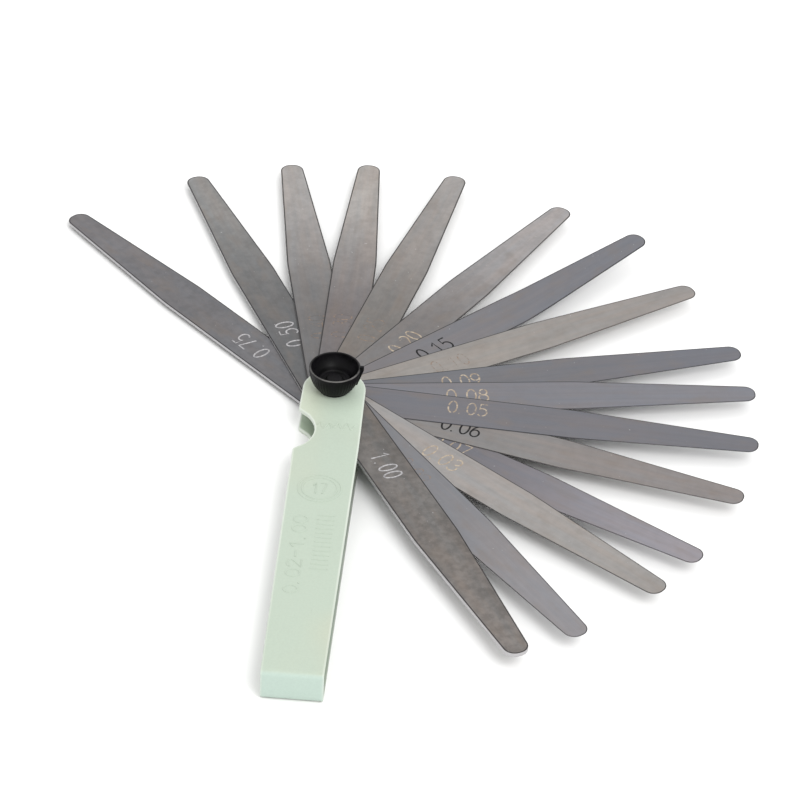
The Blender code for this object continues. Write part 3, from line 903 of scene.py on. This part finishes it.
def flat_place(y, upper):
    """Distance along the unfolded strip, from the middle of its end wall, of a cheek's Y."""
    if not upper:
        return -(LOWER_FLAT_FROM + y - BEND_Y)
    if y > -FLAT_LENGTH:
        return CREASE_AT + y + FLAT_LENGTH
    return UPPER_FLAT_FROM + (y - SLOPE_START) / math.cos(END_SLOPE)


def folded(point):
    """Where a point of the flat strip (across, along, depth from outside) goes when folded."""
    across, along, depth = point
    distance = abs(along)
    upper = along > 0.0
    side = 1.0 if upper else -1.0
    bend_z = UPPER_BEND_Z if upper else LOWER_BEND_Z
    flat_from = UPPER_FLAT_FROM if upper else LOWER_FLAT_FROM
    if distance <= HALF_WALL:
        return Vector((across, -SHEATH_LENGTH + depth, LOWER_BEND_Z + HALF_WALL + along))
    if distance < flat_from:
        turn = (distance - HALF_WALL) / MID_RADIUS
        reach = BEND_RADIUS - depth
        y, z = BEND_Y - reach * math.cos(turn), bend_z + side * reach * math.sin(turn)
        return Vector((across, y, z))
    run = distance - flat_from
    if not upper:
        return Vector((across, BEND_Y + run, depth))
    if distance > CREASE_AT:
        return Vector((across, -FLAT_LENGTH + distance - CREASE_AT, CHEEK_TOP - depth))
    y = SLOPE_START + run * math.cos(END_SLOPE) - depth * math.sin(END_SLOPE)
    z = CHEEK_TOP + UPPER_RISE - run * math.sin(END_SLOPE) - depth * math.cos(END_SLOPE)
    return Vector((across, y, z))


def cheek_outline():
    """Edge of a cheek from its right end bend round the head to its left end bend."""
    sides = [(END_HALF, CHEEK_END), (WIDEST_HALF, -WIDEST_AT), (HEAD_RADIUS, 0.0)]
    right = [sides[0]] + fillet(*sides, SIDE_BLEND, 4)
    head = arc((0.0, 0.0), HEAD_RADIUS, 0.0, math.pi, 48)
    half_chord = math.sqrt(NOTCH_RADIUS ** 2 - (NOTCH_EDGE - NOTCH_CENTRE[0]) ** 2)
    upper_corner = (NOTCH_EDGE, NOTCH_CENTRE[1] + half_chord)
    lower_corner = (NOTCH_EDGE, NOTCH_CENTRE[1] - half_chord)
    angle = math.atan2(half_chord, NOTCH_EDGE - NOTCH_CENTRE[0])
    hollow = arc(NOTCH_CENTRE, NOTCH_RADIUS, angle, -angle, 30)
    # the lips stand in for the points at the ends of the hollow
    upper_lip = fillet((NOTCH_EDGE, 0.0), upper_corner, hollow[3], NOTCH_LIP, 6)
    lower_lip = fillet(hollow[-4], lower_corner, (NOTCH_EDGE, CHEEK_END), NOTCH_LIP, 6)
    return right + head + upper_lip + hollow[5:-5] + lower_lip + [(-END_HALF, CHEEK_END)]


def make_sheath(paint):
    """The strip is made flat, with its holes, divided where it bends, and then folded."""
    cheek = cheek_outline()
    outline = [(x, flat_place(y, True)) for x, y in cheek]
    outline += [(x, flat_place(y, False)) for x, y in reversed(cheek)]
    sunk = HEAD_DEPTH + RUN
    countersink = ((HEAD_FACE_RADIUS + RUN, 0.0), (HEAD_TOP_RADIUS + RUN, sunk))
    holes = [
        ((0.0, flat_place(0.0, True)), ((BORE_RADIUS, 0.0), (BORE_RADIUS, SHEET))),
        ((0.0, flat_place(0.0, False)), (*countersink, (BORE_RADIUS, sunk), (BORE_RADIUS, SHEET))),
    ]
    stations = [CREASE_AT]
    for side, flat_from in ((1.0, UPPER_FLAT_FROM), (-1.0, LOWER_FLAT_FROM)):
        bend = (flat_from - HALF_WALL) / BEND_STEPS
        stations += [side * (flat_from + BEND_SUPPORT), side * (HALF_WALL - BEND_SUPPORT)]
        stations += [side * (HALF_WALL + bend * i) for i in range(BEND_STEPS + 1)]
    cuts = [((0.0, along, 0.0), (0.0, 1.0, 0.0)) for along in stations]
    work = rounded_plate(outline, SHEET, SHEATH_EDGE, holes, cuts)
    for vert in work.verts:
        vert.co = folded(vert.co)
    piece_from(work, "sheath_body", paint, "sheath", "sheath")


def cheek_surface(y):
    """Height of the upper cheek's outside."""
    return CHEEK_TOP + max(0.0, -FLAT_LENGTH - y) * math.tan(END_SLOPE)


def make_relief(paint):
    """Plain raised marks on the upper cheek: a wave, a double ring round the number of
    leaves, their range, and a column of bars.
    """
    wave = [
        (WAVE_FROM + WAVE_STEP * i, WAVE_Y + WAVE_HEIGHT * math.sin(WAVE_TURN * i))
        for i in range(WAVE_POINTS)
    ]
    strokes = [wave] + [oval(0.0, RING_Y, wide, high, steps=RING_STEPS) for wide, high in RINGS]
    count = written(str(len(LEAF_LOOKS)), COUNT_LENGTH, COUNT_HEIGHT)
    strokes += moved(count, -COUNT_LENGTH / 2.0, RING_Y)
    sizes = written(RANGE_TEXT, RANGE_LENGTH, RANGE_HEIGHT)
    strokes += moved([[(-y, x) for x, y in stroke] for stroke in sizes], RANGE_X, RANGE_Y)
    bar_rows = [BAR_Y - BAR_STEP * i for i in range(BARS)]
    strokes += [[(BAR_LEFT, bar_y), (BAR_RIGHT, bar_y)] for bar_y in bar_rows]
    work = stroke_mesh(strokes, RELIEF_STROKE, RELIEF_PROUD)
    for vert in work.verts:
        vert.co.z += cheek_surface(vert.co.y)
    piece_from(work, "sheath_relief", paint, "sheath")


# ---- pivot hardware ----
def make_screw():
    """Screw with a plain countersunk head; what drives it is out of sight and left out."""
    low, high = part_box("pivot_screw")
    section = [(0.0, high.z, 0.0)]
    for inwards, down, wear in SHANK_END:
        section.append((SHANK_RADIUS - inwards * MM, high.z - down * MM, wear))
    section += [
        (SHANK_RADIUS, HEAD_DEPTH, 0.0),
        (HEAD_TOP_RADIUS, HEAD_DEPTH, 0.0),
        (HEAD_FACE_RADIUS - HEAD_EDGE_IN, low.z + HEAD_EASE, 0.5),
        (HEAD_FACE_RADIUS - HEAD_EASE, low.z, 0.5),
        (HEAD_FACE_RADIUS - 3.0 * HEAD_EASE, low.z, 0.0),
        (0.0, low.z, 0.0),
    ]
    screw = turned(section, SCREW_STEPS, False)
    piece_from(screw, "pivot_screw_body", black_finish("screw"), "sheath", "pivot_screw")


def make_washer():
    """Split spring washer: one turn of square wire with a gap."""
    low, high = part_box("lock_washer")
    outer, inner = (high.x - low.x) / 2.0, BORE_RADIUS
    section = [
        (inner, low.z + WASHER_EASE),
        (inner + WASHER_EASE, low.z),
        (outer - WASHER_EASE, low.z),
        (outer, low.z + WASHER_EASE),
        (outer, high.z - WASHER_EASE),
        (outer - WASHER_EASE, high.z),
        (inner + WASHER_EASE, high.z),
        (inner, high.z - WASHER_EASE),
    ]
    work = bmesh.new()
    layer = work.verts.layers.float.new("wear")
    half_gap = math.asin(WASHER_SPLIT / 2.0 / outer)
    start = WASHER_SPLIT_ANGLE + half_gap
    sweep = 2.0 * math.pi - 2.0 * half_gap
    rings = []
    for i in range(WASHER_STEPS + 1):
        angle = start + sweep * i / WASHER_STEPS
        ring = [work.verts.new((r * math.cos(angle), r * math.sin(angle), z)) for r, z in section]
        for vert in ring:
            vert[layer] = WASHER_WEAR
        rings.append(ring)
    for first, second in zip(rings, rings[1:]):
        join_rings(work, first, second)
    work.faces.new(rings[0])
    work.faces.new(rings[-1])
    piece_from(work, "lock_washer_ring", black_finish("washer"), "sheath", "lock_washer")


def nut_side(radius_low, radius_top, z_low, z_top):
    """Flared side from bottom to top, bowed slightly outwards."""
    points = []
    for i in range(NUT_SIDE_STEPS + 1):
        t = i / NUT_SIDE_STEPS
        radius = radius_low + (radius_top - radius_low) * t + NUT_BELLY * math.sin(math.pi * t)
        points.append((radius, z_low + (z_top - z_low) * t))
    return points


def nut_profile(low, top):
    """Closed section of the cup, (radius, height, wear), up the outside and down the inside."""
    floor = low + NUT_WEB
    lip = LIP_WALL / 2.0
    outside = nut_side(NUT_WAIST_RADIUS, NUT_RIM_RADIUS, low + NUT_WAIST_HEIGHT, top - lip)
    rim = arc((NUT_RIM_RADIUS - lip, top - lip), lip, 0.0, math.pi, 12)[1:-1]
    wall = NUT_WAIST_RADIUS - CUP_WALL
    inside = nut_side(wall, NUT_RIM_RADIUS - LIP_WALL, floor + CUP_FLOOR_RISE, top - lip)
    floor_end = (wall - CUP_CORNER_IN, floor)
    corner = fillet((BORE_RADIUS, floor), floor_end, inside[1], CUP_CORNER, 6)
    profile = [
        (BORE_RADIUS, low, 0.0),
        (NUT_FOOT_RADIUS - FOOT_EASE, low, 0.0),
        (NUT_FOOT_RADIUS, low + FOOT_EASE, 0.1),
        (NUT_WAIST_RADIUS - WAIST_IN, low + WAIST_RISE, 0.0),
    ]
    profile += [(r, z, 0.0) for r, z in outside]
    profile += [(r, z, wear) for (r, z), wear in zip(rim, RIM_WEAR_AND_HIGHLIGHT)]
    profile += [(r, z, 0.0) for r, z in reversed(corner + inside[1:])]
    return profile + [(BORE_RADIUS + BORE_EASE, floor, 0.3), (BORE_RADIUS, floor - BORE_EASE, 0.3)]


def flute(cup, low, top):
    """Moves the outside of the cup's side in and out into fine upright grooves."""
    for vert in cup.verts:
        radius = math.hypot(vert.co.x, vert.co.y)
        rise = vert.co.z - low
        flare = (NUT_RIM_RADIUS - NUT_WAIST_RADIUS) * rise / NUT_HEIGHT
        skin = NUT_WAIST_RADIUS - FLUTE_SKIN + flare
        room = min(rise - FLUTE_FOOT, top - FLUTE_TOP - vert.co.z)
        if radius > skin and room > 0.0:
            fade = min(1.0, room / FLUTE_FADE)
            ripple = math.cos(FLUTES * math.atan2(vert.co.y, vert.co.x))
            vert.co.xy *= 1.0 + FLUTE_DEPTH * fade * ripple / radius


def lug_plate(top, high):
    """Upright plate that stands out of the cup's side, with a nose above its rim."""
    inner = NUT_RIM_RADIUS - LIP_WALL / 2.0
    foot = (LUG_FOOT, high - LUG_LENGTH)
    knee, nose = (LUG_REACH, high - LUG_KNEE), (LUG_REACH, high)
    shoulder = (inner, top - LUG_SHOULDER)
    corners = [(NUT_FOOT_RADIUS + LUG_ROOT, high - LUG_LENGTH), foot]
    corners += fillet(foot, knee, nose, LUG_KNEE_ROUND, 4)
    corners += fillet(knee, nose, (inner, high), LUG_NOSE_ROUND, 4)
    corners += fillet(nose, (inner + LUG_LEAN, high), shoulder, LUG_TOP_ROUND, 4)
    corners += [(inner - LUG_TUCK, top - LUG_SHOULDER)]
    plate = rounded_plate(corners, LUG_WIDTH, LUG_EDGE, band=LUG_BAND)
    stand_up = Matrix.Rotation(QUARTER, 4, "X") @ Matrix.Translation((0.0, 0.0, -LUG_WIDTH / 2.0))
    bmesh.ops.transform(plate, matrix=stand_up, verts=plate.verts)
    return plate


def make_nut():
    low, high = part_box("thumb_nut")
    top = low.z + NUT_HEIGHT
    black = black_finish("nut")
    cup = turned(nut_profile(low.z, top), 4 * FLUTES, True)
    flute(cup, low.z, top)
    nut = piece_from(cup, "thumb_nut_cup", black, "thumb_nut", "thumb_nut")
    combine(nut, mesh_from(lug_plate(top, high.z), "lug", black), operation="UNION")


# ---- stage: floor, light, camera ----
FLOOR_HALF = 3.0
FLOOR_LOW = (0.84, 0.84, 0.835)
FLOOR_HIGH = (0.855, 0.855, 0.85)
SENSOR = 36.0                    # mm
CAMERA_LENS = 172.24             # mm
CAMERA_DISTANCE = 0.855
CAMERA_CLIP = (0.05, 20.0)
CAMERA_HEADING = math.radians(2.6)
CAMERA_ELEVATION = math.radians(37.331)
CAMERA_ROLL = math.radians(2.747)
CAMERA_SIDE = 14.77 * MM         # the view's centre is this far to the right of the pivot
WORLD_LIGHT = 1.2
KEY = {"place": (0.52, -0.78, 1.1), "size": 0.75, "power": 9.5}
FILL = {"place": (0.1, 0.5, 1.2), "size": 0.9, "power": 0.5}


def make_floor():
    shader = Shader("pale_floor")
    cloud = shader.noises(FLOOR_NOISES)["cloud"]
    colour = shader.mix(shader.spread(cloud, 0.3, 0.7), FLOOR_LOW, FLOOR_HIGH)
    shader.set(Base_Color=colour, Roughness=0.85, Specular_IOR_Level=0.1)
    mesh = bpy.data.meshes.new("floor")
    sides = ((-1.0, -1.0), (1.0, -1.0), (1.0, 1.0), (-1.0, 1.0))
    corners = [(x * FLOOR_HALF, y * FLOOR_HALF, -SLIP) for x, y in sides]
    mesh.from_pydata(corners, [], [(0, 1, 2, 3)])
    mesh.materials.append(shader.material)
    floor = linked("floor", mesh)


def make_light(name, place, size, power):
    light = bpy.data.lights.new(name, "AREA")
    light.shape = "DISK"
    light.size = size
    light.energy = power
    holder = linked(name, light)
    holder.location = place
    holder.rotation_mode = "QUATERNION"
    holder.rotation_quaternion = (-Vector(place)).to_track_quat("-Z", "Y")


def make_world():
    world = bpy.data.worlds.new("studio")
    world.use_nodes = True
    background = world.node_tree.nodes["Background"]
    background.inputs["Color"].default_value = (1.0, 1.0, 1.0, 1.0)
    background.inputs["Strength"].default_value = WORLD_LIGHT
    bpy.context.scene.world = world


def make_camera():
    data = bpy.data.cameras.new("camera")
    data.lens = CAMERA_LENS
    data.sensor_width = SENSOR
    data.clip_start, data.clip_end = CAMERA_CLIP
    camera = linked("camera", data)
    level = Euler((QUARTER - CAMERA_ELEVATION, 0.0, CAMERA_HEADING)).to_matrix()
    turn = level @ Matrix.Rotation(CAMERA_ROLL, 3, "Z")
    pivot = Vector((0.0, 0.0, (SHEET + LEAF_TOP) / 2.0))
    eye = pivot + turn @ Vector((CAMERA_SIDE, 0.0, CAMERA_DISTANCE))
    camera.matrix_world = Matrix.Translation(eye) @ turn.to_4x4()
    bpy.context.scene.camera = camera


def main():
    paint = sheath_paint()
    make_sheath(paint)
    make_relief(paint)
    make_leaves()
    make_screw()
    make_washer()
    make_nut()
    make_floor()
    make_light("key", **KEY)
    make_light("fill", **FILL)
    make_world()
    make_camera()
    bpy.context.scene.view_settings.view_transform = "Standard"


main()
